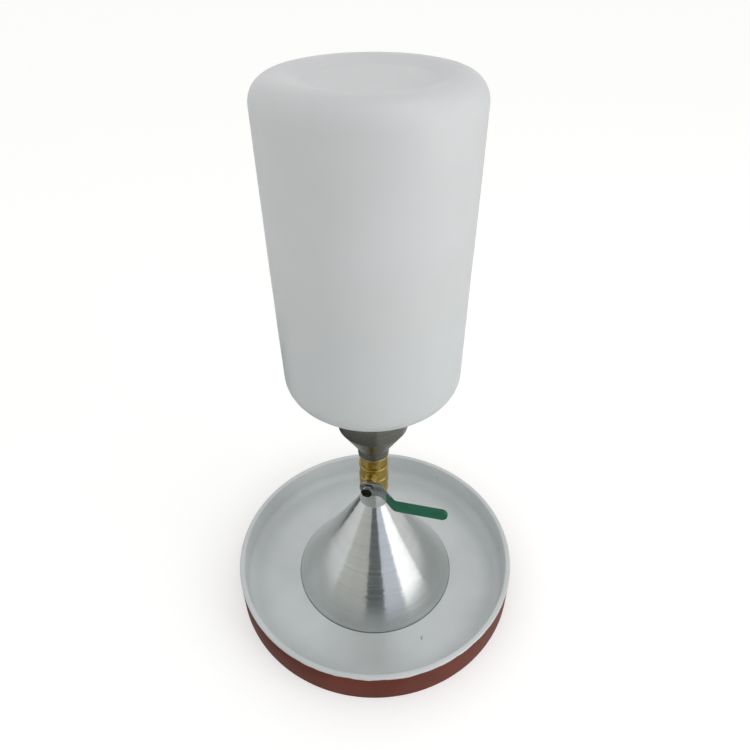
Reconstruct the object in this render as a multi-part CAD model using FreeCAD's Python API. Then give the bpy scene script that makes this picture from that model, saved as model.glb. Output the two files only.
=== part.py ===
"""Sand cone apparatus: a plastic jar stands upside down on a funnel, a ball valve and a metal cone in a base tray.

Millimetres, +Z up. The origin is on the ground at the centre of the tray.
The valve's stem points to -Y, and its closed lever to +X.
"""

import FreeCAD, Part
import math
import os

Vector = FreeCAD.Vector

# Base tray: a round cast pan with a hole for the sand in its floor
tray_outer_r = 152.4
tray_height = 36.3
tray_floor = 4.8
tray_rim_width = 5.4
tray_wall_foot = 7.4
tray_floor_round = 10.0
tray_rim_round = 1.6
tray_bottom_round = 0.8
recess_depth = 2.0

# Sand cone: its foot stands in the tray's recess, its mouth is as wide as the tray's hole
cone_mouth_r = 82.55
foot_width = 3.85
foot_height = 3.0
foot_clearance = 0.5
cone_wall = 3.5
cone_rise = 118.2
cone_hollow = 2.2
collar_r = 14.0
collar_taper = 0.9
collar_height = 17.0
collar_round = 0.8
orifice_r = 6.5

# Pipe threads at both ends of the valve, drawn as plain cylinders
thread_r = 10.2
thread_length = 9.5
thread_clearance = 0.1
port_depth = 10.5

# Ball valve: body below, end cap above
stem_height = 25.0
octagon_across_flats = 26.8
octagon_corner_r = 14.3
end_lip_r = 14.9
end_lip_length = 3.3
octagon_length = 10.5
band_r = 14.9
band_length = 8.0
band_drop = 4.5
band_edge = 0.8
barrel_r = 14.1
body_top_band = 2.4
cap_octagon_length = 13.9
cap_turn = 13.0
cap_spigot_r = 12.4
cap_spigot_length = 5.0
cap_seal_thickness = 1.0
cap_seal_gap = 0.4
chamber_r = 10.2

# Ball and its two seats
ball_r = 9.2
ball_bore_r = 6.3
ball_slot_width = 4.0
ball_slot_floor = 7.1
seat_clearance = 0.08
seat_outer_r = 9.9
seat_inner_r = 6.4
seat_near = 5.9
seat_far = 9.0

# Stem and its seals; the places are distances from the valve's axis
stem_r = 3.95
running_clearance = 0.05
stem_tongue_width = 3.8
stem_tongue_length = 8.4
stem_collar_r = 5.0
stem_collar_start = 9.8
stem_collar_length = 1.5
stem_pocket_clearance = 0.3
thrust_washer_thickness = 0.8
boss_r = 6.6
boss_wall_length = 2.8
boss_face = 21.0
boss_round = 0.6
packing_r = 5.2
packing_length = 2.6
gland_sleeve_length = 3.7
gland_across_flats = 10.8
gland_head_length = 2.8
gland_chamfer = 0.5

# Lever, its vinyl sleeve and what holds it
lever_back = 25.5
lever_thickness = 2.0
lever_width = 10.0
lever_length = 80.0
lever_hub_r = 8.4
lever_bend_start = 13.0
lever_bend_end = 29.5
lever_offset = 16.6
lever_bend_round = 5.0
lever_droop = 1.5
sleeve_start = 20.0
sleeve_thickness = 1.0
sleeve_edge_round = 0.9
stem_end_r = 2.9
stem_flats = 4.6
flats_clearance = 0.1
lock_washer_r = 5.0
lock_washer_thickness = 1.4
lock_washer_slit = 1.0
nut_across_flats = 10.0
nut_length = 5.0
nut_chamfer = 0.7
stem_end_inset = 0.6
bolt_clearance = 0.05

# Upper funnel: screws into the valve's end cap and takes the jar's neck
funnel_neck_r = 14.75
funnel_neck_length = 8.5
funnel_neck_chamfer = 0.5
funnel_cone_rise = 29.7
skirt_wall = 5.1
skirt_below_ledge = 1.5
skirt_gap = 2.4
skirt_edge = 0.8
funnel_throat_rise = 26.0
ledge_inner_r = 24.0
gasket_thickness = 2.0
gasket_clearance = 0.3

# Jar: blow-moulded plastic, upside down
jar_neck_r = 26.5
jar_neck_length = 28.4
jar_wall = 1.8
jar_thread_height = 1.5
jar_thread_pitch = 5.0
jar_thread_turns = 2.4
jar_thread_start = 6.0
jar_thread_width = 3.0
jar_thread_crest = 1.4
jar_thread_root = 0.3
jar_thread_clearance = 0.4
jar_neck_round = 4.0
jar_shoulder_slope = 24.0
jar_shoulder_round = 21.0
jar_low_r = 77.6
jar_high_r = 81.2
jar_body_height = 261.0
jar_base_round = 17.7
jar_base_rim_width = 5.0
jar_push_up_depth = 4.0
jar_push_up_slope_width = 14.0
jar_push_up_round = 12.0

# Heights, stacked from the ground up
ledge_z = tray_floor - recess_depth
cone_foot_top_z = ledge_z + foot_height
collar_z = ledge_z + cone_rise
valve_z = collar_z + collar_height
stem_z = valve_z + stem_height
cap_seal_z = stem_z + stem_collar_r + cap_seal_gap
cap_spigot_z = cap_seal_z + cap_seal_thickness
body_top_z = cap_spigot_z + cap_spigot_length
valve_top_z = body_top_z + cap_octagon_length
funnel_cone_z = valve_top_z + funnel_neck_length
skirt_z = funnel_cone_z + funnel_cone_rise
gasket_z = skirt_z + skirt_below_ledge
jar_mouth_z = gasket_z + gasket_thickness
jar_neck_top_z = jar_mouth_z + jar_neck_length
skirt_top_z = jar_neck_top_z - skirt_gap

# Radii that follow from the ones above
foot_r = cone_mouth_r + foot_width
port_r = thread_r + thread_clearance
jar_thread_r = jar_neck_r + jar_thread_height
skirt_bore_r = jar_thread_r + jar_thread_clearance
skirt_r = skirt_bore_r + skirt_wall
stem_bore_r = stem_r + running_clearance

# Places along the stem, from the valve's axis outwards
stem_collar_end = stem_collar_start + stem_collar_length
shoulder_inner = stem_collar_end + running_clearance + thrust_washer_thickness
packing_start = shoulder_inner + boss_wall_length
gland_start = packing_start + packing_length
gland_head_start = gland_start + gland_sleeve_length
lever_front = lever_back + lever_thickness
lock_washer_front = lever_front + lock_washer_thickness
nut_end = lock_washer_front + nut_length
stem_end = nut_end - stem_end_inset


def outline(corners):
    """Closed face in the XZ plane through (x, z) corners; a third value rounds that corner."""
    starts, ends, bends = [], [], []
    for place, corner in enumerate(corners):
        here = Vector(corner[0], 0, corner[1])
        radius = corner[2] if len(corner) > 2 else 0
        if not radius:
            starts.append(here)
            ends.append(here)
            bends.append(None)
            continue
        before = corners[place - 1]
        after = corners[(place + 1) % len(corners)]
        back = (Vector(before[0], 0, before[1]) - here).normalize()
        onward = (Vector(after[0], 0, after[1]) - here).normalize()
        half = back.getAngle(onward) / 2
        inward = (back + onward).normalize()
        starts.append(here + back * (radius / math.tan(half)))
        ends.append(here + onward * (radius / math.tan(half)))
        bends.append(here + inward * (radius / math.sin(half) - radius))
    edges = []
    for place, bend in enumerate(bends):
        if bend:
            edges.append(Part.Arc(starts[place], bend, ends[place]).toShape())
        following = starts[(place + 1) % len(corners)]
        if ends[place].distanceToPoint(following) > 1e-6:
            edges.append(Part.LineSegment(ends[place], following).toShape())
    return Part.Face(Part.Wire(edges))


def turned(corners):
    """Solid of revolution about Z from an outline of (radius, height) corners."""
    return outline(corners).revolve(Vector(0, 0, 0), Vector(0, 0, 1), 360)


def disc(radius, bottom, top):
    """Solid cylinder on the Z axis."""
    return Part.makeCylinder(radius, top - bottom, Vector(0, 0, bottom))


def ring(outer_r, inner_r, bottom, top):
    """Flat or tall ring on the Z axis."""
    return disc(outer_r, bottom, top).cut(disc(inner_r, bottom, top))


def prism(sides, across_flats, bottom, top, turn=0):
    """Regular prism on the Z axis with one flat facing -Y, turned about Z by some degrees."""
    corner_r = across_flats / 2 / math.cos(math.pi / sides)
    corners = []
    for corner in range(sides + 1):
        angle = math.radians(-90 + (corner + 0.5) * 360 / sides + turn)
        corners.append(Vector(corner_r * math.cos(angle), corner_r * math.sin(angle), bottom))
    face = Part.Face(Part.makePolygon(corners))
    return face.extrude(Vector(0, 0, top - bottom))


def hex_blank(across_flats, chamfer, bottom, top):
    """Hexagonal prism whose corners are chamfered round at both ends."""
    corner_r = across_flats / 2 / math.cos(math.pi / 6)
    envelope = turned([(0, bottom), (corner_r - chamfer, bottom), (corner_r, bottom + chamfer / 2),
                       (corner_r, top - chamfer / 2), (corner_r - chamfer, top), (0, top)])
    return prism(6, across_flats, bottom, top).common(envelope)


def octagon_end(bottom, top, lip_side, turn=0):
    """Octagonal spanner grip with a round lip at its outer end; lip_side is -1 if that is below, 1 above."""
    grip = prism(8, octagon_across_flats, bottom, top, turn).common(disc(octagon_corner_r, bottom, top))
    outer = bottom if lip_side < 0 else top
    inner = outer - lip_side * end_lip_length
    lip = turned([
        (0, outer),
        (end_lip_r - band_edge, outer),
        (end_lip_r, outer - lip_side * band_edge),
        (end_lip_r, inner + lip_side * band_edge),
        (end_lip_r - band_edge, inner),
        (0, inner),
    ])
    return grip.fuse(lip)


def on_stem(shape):
    """Moves a shape drawn about Z, with its height as the distance from the valve, onto the stem's axis."""
    moved = shape.copy()
    moved.rotate(Vector(0, 0, 0), Vector(1, 0, 0), 90)
    moved.translate(Vector(0, 0, stem_z))
    return moved


def on_rotor(shape):
    """The same, with the small droop that the closed lever, stem and ball share."""
    drooped = shape.copy()
    drooped.rotate(Vector(0, 0, 0), Vector(0, 0, 1), -lever_droop)
    return on_stem(drooped)


def base_tray():
    recess_r = foot_r + foot_clearance
    return turned([
        (cone_mouth_r, 0),
        (tray_outer_r, 0, tray_bottom_round),
        (tray_outer_r, tray_height, tray_rim_round),
        (tray_outer_r - tray_rim_width, tray_height, tray_rim_round),
        (tray_outer_r - tray_wall_foot, tray_floor, tray_floor_round),
        (recess_r, tray_floor),
        (recess_r, ledge_z),
        (cone_mouth_r, ledge_z),
    ])


def sand_cone():
    """Foot, slightly hollow cone, collar and threaded spigot in one turned piece, open from mouth to orifice."""
    shoulder_r = collar_r + collar_taper
    run = foot_r - shoulder_r
    rise = collar_z - cone_foot_top_z
    slant = math.hypot(run, rise)
    across_r = rise / slant
    across_z = run / slant
    inner_r = foot_r - cone_wall * across_r
    inner_z = cone_foot_top_z - cone_wall * across_z
    mouth_top_z = inner_z + (inner_r - cone_mouth_r) * rise / run
    orifice_z = inner_z + (inner_r - orifice_r) * rise / run
    dip = 2 * cone_hollow
    dip_r = (foot_r + shoulder_r) / 2 - dip * across_r
    dip_z = (cone_foot_top_z + collar_z) / 2 - dip * across_z
    slope_r = 0.24 * slant * slant / dip
    spigot_top_z = valve_z + thread_length
    return turned([
        (cone_mouth_r, ledge_z),
        (foot_r, ledge_z),
        (foot_r, cone_foot_top_z),
        (dip_r, dip_z, slope_r),
        (shoulder_r, collar_z, collar_round),
        (collar_r - collar_taper, valve_z),
        (thread_r, valve_z),
        (thread_r, spigot_top_z),
        (orifice_r, spigot_top_z),
        (orifice_r, orifice_z),
        (dip_r - cone_wall * across_r, dip_z - cone_wall * across_z, slope_r),
        (cone_mouth_r, mouth_top_z),
    ])


def valve_body():
    """Lower port with its octagon, a raised band, the barrel round the ball and the stem's boss."""
    octagon_top_z = valve_z + octagon_length
    band_top_z = stem_z - band_drop
    band_z = band_top_z - band_length
    outer = octagon_end(valve_z, octagon_top_z, -1)
    barrel = turned([
        (0, octagon_top_z),
        (barrel_r, octagon_top_z),
        (barrel_r, band_z - band_edge),
        (band_r, band_z),
        (band_r, band_top_z),
        (barrel_r, band_top_z + band_edge),
        (barrel_r, body_top_z - body_top_band - band_edge),
        (band_r, body_top_z - body_top_band),
        (band_r, body_top_z - band_edge),
        (band_r - band_edge, body_top_z),
        (0, body_top_z),
    ])
    boss = on_stem(turned([(0, 0), (boss_r, 0), (boss_r, boss_face, boss_round), (0, boss_face)]))
    seat_pocket_r = seat_outer_r + thread_clearance
    seat_floor_z = stem_z - seat_far
    chamber_z = stem_z - seat_near
    hollow = [
        disc(port_r, valve_z, valve_z + port_depth),
        disc(orifice_r, valve_z, stem_z),
        disc(seat_pocket_r, seat_floor_z, stem_z),
        disc(chamber_r, chamber_z, body_top_z),
        disc(cap_spigot_r + thread_clearance, cap_seal_z, body_top_z),
        on_stem(disc(stem_collar_r + stem_pocket_clearance, 0, shoulder_inner)),
        on_stem(disc(stem_bore_r, 0, boss_face)),
        on_stem(disc(packing_r + thread_clearance, packing_start, boss_face)),
    ]
    return outer.fuse([barrel, boss]).removeSplitter().cut(hollow)


def valve_end_cap():
    """Octagon with the upper port; its spigot screws into the body and holds the upper seat."""
    head = octagon_end(body_top_z, valve_top_z, 1, cap_turn)
    spigot = disc(cap_spigot_r, cap_spigot_z, body_top_z)
    seat_top_z = stem_z + seat_far
    hollow = [
        disc(port_r, valve_top_z - port_depth + thread_clearance, valve_top_z),
        disc(orifice_r, cap_spigot_z, valve_top_z),
        disc(seat_outer_r + thread_clearance, cap_spigot_z, seat_top_z),
    ]
    return head.fuse(spigot).cut(hollow)


def end_cap_seal():
    return ring(cap_spigot_r, chamber_r, cap_seal_z, cap_spigot_z)


def seat(side):
    """Plastic ring with a round hollow that the ball turns in; side is -1 below it and 1 above it."""
    bottom, top = sorted([stem_z + side * seat_near, stem_z + side * seat_far])
    hollow = Part.makeSphere(ball_r + seat_clearance, Vector(0, 0, stem_z))
    return ring(seat_outer_r, seat_inner_r, bottom, top).cut(hollow)


def valve_ball():
    """Ball with its bore across the flow at rest, and a slot for the stem's tongue."""
    ball = Part.makeSphere(ball_r)
    bore = Part.makeCylinder(ball_bore_r, 2 * ball_r, Vector(-ball_r, 0, 0), Vector(1, 0, 0))
    slot = Part.makeBox(ball_slot_width, 2 * ball_r, ball_r,
                        Vector(-ball_slot_width / 2, -ball_r, ball_slot_floor))
    return on_rotor(ball.cut([bore, slot]))


def valve_stem():
    """Tongue, collar, round shaft and a threaded end with two flats for the lever."""
    tongue_start = ball_slot_floor + running_clearance
    tongue = Part.makeBox(stem_tongue_width, stem_tongue_length, stem_collar_start - tongue_start,
                          Vector(-stem_tongue_width / 2, -stem_tongue_length / 2, tongue_start))
    shaft = turned([
        (0, stem_collar_start),
        (stem_collar_r, stem_collar_start),
        (stem_collar_r, stem_collar_end),
        (stem_r, stem_collar_end),
        (stem_r, lever_back),
        (stem_end_r, lever_back),
        (stem_end_r, stem_end - band_edge),
        (stem_end_r - band_edge, stem_end),
        (0, stem_end),
    ])
    flats = double_flat(0, lever_back, lever_front)
    threaded = disc(stem_end_r, lever_back, lever_front)
    return on_rotor(shaft.cut(threaded).fuse([tongue, flats]))


def double_flat(clearance, bottom, top):
    """Round bar with two flats, as the stem has it and as the lever's hole takes it."""
    width = stem_flats + 2 * clearance
    slab = Part.makeBox(2 * stem_r, width, top - bottom, Vector(-stem_r, -width / 2, bottom))
    return disc(stem_end_r + clearance, bottom, top).common(slab)


def stem_thrust_washer():
    start = stem_collar_end + running_clearance
    return on_stem(ring(stem_collar_r, stem_bore_r, start, shoulder_inner))


def stem_packing():
    return on_stem(ring(packing_r, stem_bore_r, packing_start, gland_start))


def packing_gland():
    """Hollow screw that presses the packing into the boss, with a hexagonal head."""
    head_end = gland_head_start + gland_head_length
    head = hex_blank(gland_across_flats, gland_chamfer, gland_head_start, head_end)
    sleeve = disc(packing_r, gland_start, gland_head_start)
    return on_stem(head.fuse(sleeve).cut(disc(stem_bore_r, gland_start, head_end)))


def lever_side(back, front, tip):
    """Side outline of the bent strip between two depths, from beyond the hub to the tip."""
    low = -lever_hub_r - sleeve_thickness
    inner_round = lever_bend_round
    outer_round = lever_bend_round + front - back
    return outline([
        (low, back),
        (lever_bend_start, back, outer_round),
        (lever_bend_end, back + lever_offset, inner_round),
        (tip, back + lever_offset),
        (tip, front + lever_offset),
        (lever_bend_end, front + lever_offset, outer_round),
        (lever_bend_start, front, inner_round),
        (low, front),
    ])


def strip_plan(width, start, tip, depth):
    """Straight strip with a round tip, seen along the stem and as deep as asked."""
    tip_r = width / 2
    bar = Part.makeBox(tip - tip_r - start, width, depth, Vector(start, -tip_r, 0))
    end = Part.makeCylinder(tip_r, depth, Vector(tip - tip_r, 0, 0))
    return bar.fuse(end)


def bent_slab(back, front, tip, half_width):
    """The bent strip's side outline drawn out to both sides of the stem's axis."""
    slab = lever_side(back, front, tip).extrude(Vector(0, 2 * half_width, 0))
    slab.translate(Vector(0, -half_width, 0))
    return slab


def hub_plan(depth):
    """Round hub that narrows to the strip's width by the end of the bend."""
    wide = lever_hub_r
    narrow = lever_width / 2
    corners = [Vector(0, -wide, 0), Vector(lever_bend_start, -wide, 0), Vector(lever_bend_end, -narrow, 0),
               Vector(lever_bend_end, narrow, 0), Vector(lever_bend_start, wide, 0), Vector(0, wide, 0),
               Vector(0, -wide, 0)]
    plate = Part.Face(Part.makePolygon(corners)).extrude(Vector(0, 0, depth))
    return disc(lever_hub_r, 0, depth).fuse(plate)


def drawn_lever():
    """Steel strip with a round hub, bent outwards in two steps, before it is put on the stem."""
    reach = lever_front + lever_offset + lever_thickness
    plan = hub_plan(reach).fuse(strip_plan(lever_width, 0, lever_length, reach))
    slab = bent_slab(lever_back, lever_front, lever_length, lever_hub_r)
    return slab.common(plan).cut(double_flat(flats_clearance, lever_back, lever_front))


def handle_lever():
    return on_rotor(drawn_lever())


def handle_sleeve():
    """Dipped vinyl cover on the lever's outer part, closed at the tip."""
    reach = lever_front + lever_offset + lever_thickness + sleeve_thickness
    width = lever_width + 2 * sleeve_thickness
    tip = lever_length + sleeve_thickness
    plan = strip_plan(width, sleeve_start, tip, reach)
    slab = bent_slab(lever_back - sleeve_thickness, lever_front + sleeve_thickness, tip, width)
    cover = slab.common(plan).removeSplitter()
    rounded = cover.makeFillet(sleeve_edge_round, cover.Edges)
    return on_rotor(rounded.cut(drawn_lever()))


def lock_washer():
    """Split spring washer under the nut."""
    plain = ring(lock_washer_r, stem_end_r + bolt_clearance, lever_front, lock_washer_front)
    slit = Part.makeBox(lock_washer_slit, lock_washer_r + lock_washer_slit, lock_washer_thickness,
                        Vector(-lock_washer_slit / 2, 0, lever_front))
    return on_rotor(plain.cut(slit))


def handle_nut():
    blank = hex_blank(nut_across_flats, nut_chamfer, lock_washer_front, nut_end)
    return on_rotor(blank.cut(disc(stem_end_r + bolt_clearance, lock_washer_front, nut_end)))


def upper_funnel():
    """Threaded spigot, neck, cone and skirt in one turned piece, with a ledge for the jar's gasket."""
    spigot_z = valve_top_z - thread_length
    throat_z = gasket_z - funnel_throat_rise
    return turned([
        (orifice_r, spigot_z),
        (thread_r, spigot_z),
        (thread_r, valve_top_z),
        (funnel_neck_r - funnel_neck_chamfer, valve_top_z),
        (funnel_neck_r, valve_top_z + funnel_neck_chamfer),
        (funnel_neck_r, funnel_cone_z),
        (skirt_r, skirt_z, skirt_edge),
        (skirt_r, skirt_top_z - skirt_edge),
        (skirt_r - skirt_edge, skirt_top_z),
        (skirt_bore_r, skirt_top_z),
        (skirt_bore_r, gasket_z),
        (ledge_inner_r, gasket_z),
        (orifice_r, throat_z),
    ])


def jar_gasket():
    return ring(skirt_bore_r - gasket_clearance, ledge_inner_r, gasket_z, jar_mouth_z)


def jar_shell(inset):
    """The jar's outer form, or the form of its inside when inset by the wall."""
    slope = math.radians(jar_shoulder_slope)
    low_centre_r = jar_low_r - jar_shoulder_round
    tangent_r = low_centre_r + jar_shoulder_round * math.sin(slope)
    tangent_z = jar_neck_top_z + (tangent_r - jar_neck_r) * math.tan(slope)
    low_z = tangent_z + jar_shoulder_round * (math.cos(slope) - 1)
    top_z = low_z + jar_body_height - inset
    neck_r = jar_neck_r - inset
    shoulder_lift = inset / math.cos(slope)
    side_r = jar_low_r - inset
    lean = (jar_high_r - jar_low_r) / jar_body_height
    edge_z = jar_neck_top_z + shoulder_lift + (side_r - jar_neck_r) * math.tan(slope)
    edge_r = side_r + lean * (edge_z - low_z)
    rim_r = jar_high_r - jar_base_round - jar_base_rim_width
    dish_r = rim_r - jar_push_up_slope_width
    dish_z = top_z - jar_push_up_depth
    return turned([
        (0, jar_mouth_z),
        (neck_r, jar_mouth_z),
        (neck_r, jar_neck_top_z + shoulder_lift - inset * math.tan(slope), jar_neck_round + inset),
        (edge_r, edge_z, jar_shoulder_round - inset),
        (jar_high_r - inset, top_z, jar_base_round - inset),
        (rim_r, top_z, jar_push_up_round),
        (dish_r, dish_z, jar_push_up_round),
        (0, dish_z),
    ])


def jar_thread():
    """Coarse raised thread round the neck."""
    start_z = jar_mouth_z + jar_thread_start
    root_r = jar_neck_r - jar_thread_root
    helix = Part.makeHelix(jar_thread_pitch, jar_thread_pitch * jar_thread_turns, root_r)
    half = jar_thread_width / 2
    crest = jar_thread_crest / 2
    corners = [Vector(root_r, 0, -half), Vector(jar_thread_r, 0, -crest), Vector(jar_thread_r, 0, crest),
               Vector(root_r, 0, half), Vector(root_r, 0, -half)]
    ridge = Part.Wire(helix.Edges).makePipeShell([Part.makePolygon(corners)], True, True)
    ridge.translate(Vector(0, 0, start_z))
    return ridge


def jar():
    """Thin-walled jar: its base, with a shallow dish, is up, and its threaded neck down in the funnel."""
    return jar_shell(0).fuse(jar_thread()).cut(jar_shell(jar_wall))


pieces = {
    "base_tray": base_tray(),
    "sand_cone": sand_cone(),
    "valve_body": valve_body(),
    "valve_end_cap": valve_end_cap(),
    "end_cap_seal": end_cap_seal(),
    "lower_seat": seat(-1),
    "upper_seat": seat(1),
    "valve_ball": valve_ball(),
    "valve_stem": valve_stem(),
    "stem_thrust_washer": stem_thrust_washer(),
    "stem_packing": stem_packing(),
    "packing_gland": packing_gland(),
    "handle_lever": handle_lever(),
    "handle_sleeve": handle_sleeve(),
    "lock_washer": lock_washer(),
    "handle_nut": handle_nut(),
    "upper_funnel": upper_funnel(),
    "jar_gasket": jar_gasket(),
    "jar": jar(),
}

os.makedirs("parts", exist_ok=True)
for name, shape in pieces.items():
    shape.exportStep(f"parts/{name}.step")
    box = shape.BoundBox
    print(f"{name}: {len(shape.Solids)} solid, valid {shape.isValid()}, {shape.Volume / 1000:.2f} cm3, "
          f"z {box.ZMin:.1f} to {box.ZMax:.1f}")
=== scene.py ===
# %% [markdown]
# # Dressing a sand cone apparatus
#
# This lesson dresses one object: a density tester for soil. A plastic jar of dry sand stands upside down on
# a turned funnel. A small brass ball valve lets the sand run into a wide metal cone, and the cone stands in
# a round cast tray that has a hole in its floor.
#
# The engineering model is already there, to the tenth of a millimetre. It says where every piece is and how
# it moves, and it stays as it is. What it lacks is everything that the hand and the eye know: the grey skin
# of a casting, the rings that a lathe leaves, the grain of blasted brass, the milky depth of polyethylene.
# Each step below adds one of these. Lengths are in metres, as Blender wants them; `mm` keeps them readable.

# %% Load the frame
import math

import bmesh
import bpy
from mathutils import Matrix, Vector, noise


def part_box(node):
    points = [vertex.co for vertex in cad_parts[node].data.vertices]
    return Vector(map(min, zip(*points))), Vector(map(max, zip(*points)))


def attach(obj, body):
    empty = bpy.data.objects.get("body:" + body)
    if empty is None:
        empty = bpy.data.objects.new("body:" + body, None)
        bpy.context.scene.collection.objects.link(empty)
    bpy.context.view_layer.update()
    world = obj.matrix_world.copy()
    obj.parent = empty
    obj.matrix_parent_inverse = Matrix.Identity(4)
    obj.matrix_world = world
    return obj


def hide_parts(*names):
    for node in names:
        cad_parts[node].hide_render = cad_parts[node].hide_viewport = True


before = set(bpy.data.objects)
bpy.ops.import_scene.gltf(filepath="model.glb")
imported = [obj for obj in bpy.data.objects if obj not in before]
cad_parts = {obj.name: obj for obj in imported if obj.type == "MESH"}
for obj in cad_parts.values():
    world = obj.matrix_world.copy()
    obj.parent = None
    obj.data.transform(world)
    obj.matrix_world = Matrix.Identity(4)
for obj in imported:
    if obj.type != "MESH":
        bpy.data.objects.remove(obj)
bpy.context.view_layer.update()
mm = 0.001

# %% [markdown]
# ## The camera
#
# A picture is matched in one order only: first the camera, then the shapes, then the light, then the
# colours. The photograph was taken from close by, standing, with a wide phone lens. That is why the jar
# looks larger at the top than at the bottom and why its walls seem to lean together. A longer lens from
# further away could frame the same object, but it would lose this perspective, so distance, height and tilt
# are given here as the photographer had them. The stem of the valve doesn't point straight at the camera, so
# the camera stands a few degrees round from it.

# %% Place the camera
camera_turn = math.radians(13.0)
camera_distance = 445.8 * mm
camera_height = 622.7 * mm
camera_tilt = math.radians(37.28)
camera_pan = math.radians(0.286)
camera_roll = math.radians(-0.604)
lens_in_picture_widths = 620.9 / 750

camera_data = bpy.data.cameras.new("phone_lens")
camera_data.sensor_width = 36.0
camera_data.lens = lens_in_picture_widths * camera_data.sensor_width
camera_data.clip_start = 0.01
camera = bpy.data.objects.new("camera", camera_data)
bpy.context.scene.collection.objects.link(camera)
stand = Matrix.Rotation(camera_turn, 4, "Z") @ Matrix.Translation((0, -camera_distance, camera_height))
look = Matrix.Rotation(-camera_pan, 4, "Z") @ Matrix.Rotation(math.pi / 2 - camera_tilt, 4, "X")
camera.matrix_world = stand @ look @ Matrix.Rotation(camera_roll, 4, "Z")
bpy.context.scene.camera = camera
bpy.context.scene.view_settings.view_transform = "Standard"
print("camera at", [round(value, 3) for value in camera.matrix_world.translation])

# %% [markdown]
# ## The room
#
# The object is shown on white, as in a catalogue. The floor is a real white sheet, so that it catches the
# soft contact shadow, and a glow that only the camera sees lifts the sheet to paper white. The world is
# white for the camera, for mirror reflections and for what is seen through plastic. For soft light it is a
# little weaker, because a room with white walls still has a light side and a dark side, and the lamps
# further on make that difference.
#
# World, floor and all the finishes are node trees, so two small helpers come first. They make building a
# tree in code about as short as drawing it.

# %% Node helpers
def new_nodes(owner):
    """Empty node tree of a material or a world."""
    owner.use_nodes = True
    owner.node_tree.nodes.clear()
    return owner.node_tree


def node(tree, kind, inputs=None, **settings):
    """Adds one node; inputs holds plain values or the sockets of other nodes, by socket name or number."""
    made = tree.nodes.new("ShaderNode" + kind)
    for name, value in settings.items():
        setattr(made, name, value)
    for name, value in (inputs or {}).items():
        if isinstance(value, bpy.types.NodeSocket):
            tree.links.new(value, made.inputs[name])
        else:
            made.inputs[name].default_value = value
    return made


print("node helpers ready")

# %% World and floor
room_light = 0.84
world = bpy.data.worlds.new("white_room")
tree = new_nodes(world)
ray = node(tree, "LightPath").outputs
mirrored = node(tree, "Math", {0: ray["Is Camera Ray"], 1: ray["Is Glossy Ray"]}, operation="MAXIMUM")
seen = node(tree, "Math", {0: mirrored.outputs[0], 1: ray["Is Transmission Ray"]}, operation="MAXIMUM")
strength = node(tree, "MapRange", {"Value": seen.outputs[0], "To Min": room_light, "To Max": 1.0})
sky = node(tree, "Background", {"Color": (1, 1, 1, 1), "Strength": strength.outputs[0]})
node(tree, "OutputWorld", {"Surface": sky.outputs[0]})
bpy.context.scene.world = world

floor_glow = 0.36
floor_reach = 9.0
sheet_colour = (0.73, 0.73, 0.72, 1)
floor_paint = bpy.data.materials.new("white_sheet")
tree = new_nodes(floor_paint)
sheet_white = node(tree, "BsdfDiffuse", {"Color": sheet_colour})
to_camera = node(tree, "LightPath").outputs["Is Camera Ray"]
camera_only = node(tree, "MapRange", {"Value": to_camera, "To Max": floor_glow})
glow = node(tree, "Emission", {"Color": (1, 1, 1, 1), "Strength": camera_only.outputs[0]})
both = node(tree, "AddShader", {0: sheet_white.outputs[0], 1: glow.outputs[0]})
node(tree, "OutputMaterial", {"Surface": both.outputs[0]})

floor_mesh = bpy.data.meshes.new("floor")
square = ((-1, -1), (1, -1), (1, 1), (-1, 1))
floor_mesh.from_pydata([(x * floor_reach, y * floor_reach, 0) for x, y in square], [], [(0, 1, 2, 3)])
floor = bpy.data.objects.new("floor", floor_mesh)
floor_mesh.materials.append(floor_paint)
bpy.context.scene.collection.objects.link(floor)
print("floor and world ready")

# %% [markdown]
# ## Lamps
#
# One large soft lamp on the right does the work of the window. A weaker one on the left and one beside the
# camera keep those sides from going flat. Places round the object are given by their azimuth from the
# camera, because that is how one thinks of them in front of a picture. The lamps light what is dull and stay
# out of mirror reflections: what metal mirrors comes in the next step, where each tone has its own place.

# %% Lamps
def around(azimuth, distance, height):
    """Point at an azimuth in degrees round from the camera, to its right, at a distance from the axis."""
    angle = camera_turn - math.pi / 2 + math.radians(azimuth)
    return Vector((distance * math.cos(angle), distance * math.sin(angle), height))


def soft_lamp(name, azimuth, distance, low, high, width, watts):
    """Upright soft lamp that faces the axis, between two heights; mirror reflections don't show it."""
    data = bpy.data.lights.new(name, "AREA")
    data.shape = "RECTANGLE"
    data.size = width
    data.size_y = high - low
    data.energy = watts
    lamp = bpy.data.objects.new(name, data)
    bpy.context.scene.collection.objects.link(lamp)
    lamp.location = around(azimuth, distance, (low + high) / 2)
    inward = Vector((-lamp.location.x, -lamp.location.y, 0))
    lamp.rotation_euler = inward.to_track_quat("-Z", "Y").to_euler()
    lamp.visible_glossy = False


soft_lamp("window_lamp", azimuth=61, distance=1.8, low=0.03, high=1.25, width=1.15, watts=11)
soft_lamp("left_lamp", azimuth=-80, distance=2.4, low=0.4, high=2.0, width=1.6, watts=1.2)
soft_lamp("room_lamp", azimuth=14, distance=2.0, low=0.8, high=1.7, width=0.7, watts=3)
print("lamps:", ", ".join(lamp.name for lamp in bpy.data.lights))

# %% [markdown]
# ## Cards for the metal to mirror
#
# Bare metal is mostly a picture of its surroundings. In an all-white room a turned cone looks like paper.
# Photographers stand cards round the set for that, just outside the picture, and the metal gets its streaks
# from them. The photograph tells which card stands where: the dark streak down the front of the cone is the
# dark side of the room behind the photographer, the white band to its right is the window, and the tones
# between them are walls. Flat cards on the floor do the same for the brass and the funnel, which mirror what
# lies below them. The cards are seen by mirror reflections alone, so they take no light from anything else.

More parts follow.
